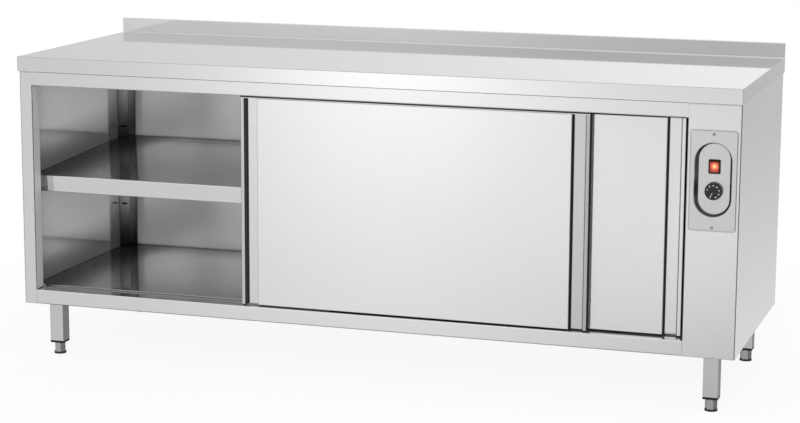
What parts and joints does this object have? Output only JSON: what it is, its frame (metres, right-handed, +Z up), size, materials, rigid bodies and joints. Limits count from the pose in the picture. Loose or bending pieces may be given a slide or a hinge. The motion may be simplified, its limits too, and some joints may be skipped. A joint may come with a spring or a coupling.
{
  "type": "plate warmer cabinet",
  "caption": "Heated stainless counter cabinet with upstand worktop, two sliding doors, a perforated shelf, fan heating, a rocker switch and thermostat, on adjustable feet.",
  "frame": {"origin": "on the floor, under the middle of the worktop", "axes": "+X along the cabinet to the control side, +Y to the rear, +Z up"},
  "size_m": [2, 0.7, 0.893],
  "materials": {
    "worktop_steel": "fine long grain, satin",
    "body_steel": "fine grain, satin",
    "lining_steel": "bright, almost mirror",
    "door_steel": "bright satin",
    "shelf_steel": "bright, almost mirror",
    "leg_steel": "satin tube",
    "foot_steel": "turned and milled, black pad at the base",
    "plate_steel": "satin pressing",
    "screw_steel": "bright",
    "zinc_plated_steel": "zinc plated",
    "laminated_board": "raw chipboard",
    "mineral_wool": "pressed fibre",
    "door_core": "paper honeycomb",
    "black_plastic": "fine matte",
    "black_rubber": "matte",
    "white_nylon": "turned nylon",
    "knob_plastic": "satin black with white marks",
    "red_lens": "clear red, lit from behind",
    "cream_plastic": "moulded",
    "motor_paint": "black paint",
    "fan_aluminium": "cast",
    "element_steel": "heat-tinted",
    "grey_sleeve": "braided sleeve"
  },
  "bodies": {
    "root": {"worktop": "worktop_steel", "worktop_board": "laminated_board", "worktop_stiffeners": "zinc_plated_steel", "left_outer_panel": "body_steel", "right_outer_panel": "body_steel", "back_panel": "body_steel", "front_top_rail": "body_steel", "front_bottom_rail": "body_steel", "left_wall_liner": "lining_steel", "back_wall_liner": "lining_steel", "compartment_wall": "lining_steel", "ceiling_liner": "lining_steel", "floor_pan": "lining_steel", "compartment_floor": "zinc_plated_steel", "bottom_covers": "body_steel", "cross_members": "zinc_plated_steel", "legs": "leg_steel", "leg_inserts": "black_plastic", "insulation_boards": "mineral_wool", "floor_insulation": "mineral_wool", "door_tracks": "zinc_plated_steel", "track_stops": "black_rubber", "door_floor_guide": "white_nylon", "shelf_uprights": "lining_steel", "shelf_brackets": "zinc_plated_steel", "control_plate": "plate_steel", "plate_screws": "screw_steel", "switch_frame": "black_plastic", "thermostat": "zinc_plated_steel", "fan_housing": "zinc_plated_steel", "fan_motor": "motor_paint", "heater_element": "element_steel", "terminal_block": "cream_plastic", "cable_gland": "black_plastic", "wiring_loom": "grey_sleeve"},
    "front_door": {"front_door_skin": "door_steel", "front_door_back_skin": "door_steel", "front_door_core": "door_core", "front_door_handles": "door_steel", "front_door_hangers": "zinc_plated_steel"},
    "front_door_left_wheel": {"front_door_left_roller": "white_nylon"},
    "front_door_right_wheel": {"front_door_right_roller": "white_nylon"},
    "rear_door": {"rear_door_skin": "door_steel", "rear_door_back_skin": "door_steel", "rear_door_core": "door_core", "rear_door_handles": "door_steel", "rear_door_hangers": "zinc_plated_steel"},
    "rear_door_left_wheel": {"rear_door_left_roller": "white_nylon"},
    "rear_door_right_wheel": {"rear_door_right_roller": "white_nylon"},
    "shelf": {"shelf": "shelf_steel"},
    "rocker": {"switch_rocker": "red_lens"},
    "knob": {"thermostat_knob": "knob_plastic"},
    "impeller": {"fan_impeller": "fan_aluminium"},
    "front_left_leveller": {"front_left_foot": "foot_steel"},
    "front_right_leveller": {"front_right_foot": "foot_steel"},
    "rear_left_leveller": {"rear_left_foot": "foot_steel"},
    "rear_right_leveller": {"rear_right_foot": "foot_steel"}
  },
  "joints": [
    {"name": "front_door_slide", "type": "slide", "parent": "root", "child": "front_door", "axis": [1, 0, 0], "range_m": [-0.6117, 0.2507]},
    {"name": "rear_door_slide", "type": "slide", "parent": "root", "child": "rear_door", "axis": [1, 0, 0], "range_m": [-0.8537, 0.0087]},
    {"name": "front_door_left_wheel_spin", "type": "hinge", "parent": "front_door", "child": "front_door_left_wheel", "pos_m": [-0.228, -0.32, 0.7883], "axis": [0, 1, 0], "continuous": true},
    {"name": "front_door_right_wheel_spin", "type": "hinge", "parent": "front_door", "child": "front_door_right_wheel", "pos_m": [0.49, -0.32, 0.7883], "axis": [0, 1, 0], "continuous": true},
    {"name": "rear_door_left_wheel_spin", "type": "hinge", "parent": "rear_door", "child": "rear_door_left_wheel", "pos_m": [0.014, -0.295, 0.7883], "axis": [0, 1, 0], "continuous": true},
    {"name": "rear_door_right_wheel_spin", "type": "hinge", "parent": "rear_door", "child": "rear_door_right_wheel", "pos_m": [0.732, -0.295, 0.7883], "axis": [0, 1, 0], "continuous": true},
    {"name": "shelf_lift", "type": "slide", "parent": "root", "child": "shelf", "axis": [0, 0, 1], "range_m": [0, 0.06]},
    {"name": "rocker_tilt", "type": "hinge", "parent": "root", "child": "rocker", "pos_m": [0.93, -0.326, 0.648], "axis": [1, 0, 0], "range_deg": [-14, 0]},
    {"name": "knob_turn", "type": "hinge", "parent": "root", "child": "knob", "pos_m": [0.93, -0.326, 0.586], "axis": [0, 1, 0], "range_deg": [0, 300]},
    {"name": "impeller_spin", "type": "hinge", "parent": "root", "child": "impeller", "pos_m": [0.925, 0.05, 0.48], "axis": [1, 0, 0], "continuous": true},
    {"name": "front_left_foot_screw", "type": "slide", "parent": "root", "child": "front_left_leveller", "axis": [0, 0, -1], "range_m": [0, 0.04]},
    {"name": "front_right_foot_screw", "type": "slide", "parent": "root", "child": "front_right_leveller", "axis": [0, 0, -1], "range_m": [0, 0.04]},
    {"name": "rear_left_foot_screw", "type": "slide", "parent": "root", "child": "rear_left_leveller", "axis": [0, 0, -1], "range_m": [0, 0.04]},
    {"name": "rear_right_foot_screw", "type": "slide", "parent": "root", "child": "rear_right_leveller", "axis": [0, 0, -1], "range_m": [0, 0.04]}
  ],
  "couplings": [
    {"joint": "front_door_left_wheel_spin", "follows": "front_door_slide", "rad_per_m": 90.909},
    {"joint": "front_door_right_wheel_spin", "follows": "front_door_slide", "rad_per_m": 90.909},
    {"joint": "rear_door_left_wheel_spin", "follows": "rear_door_slide", "rad_per_m": 90.909},
    {"joint": "rear_door_right_wheel_spin", "follows": "rear_door_slide", "rad_per_m": 90.909}
  ]
}
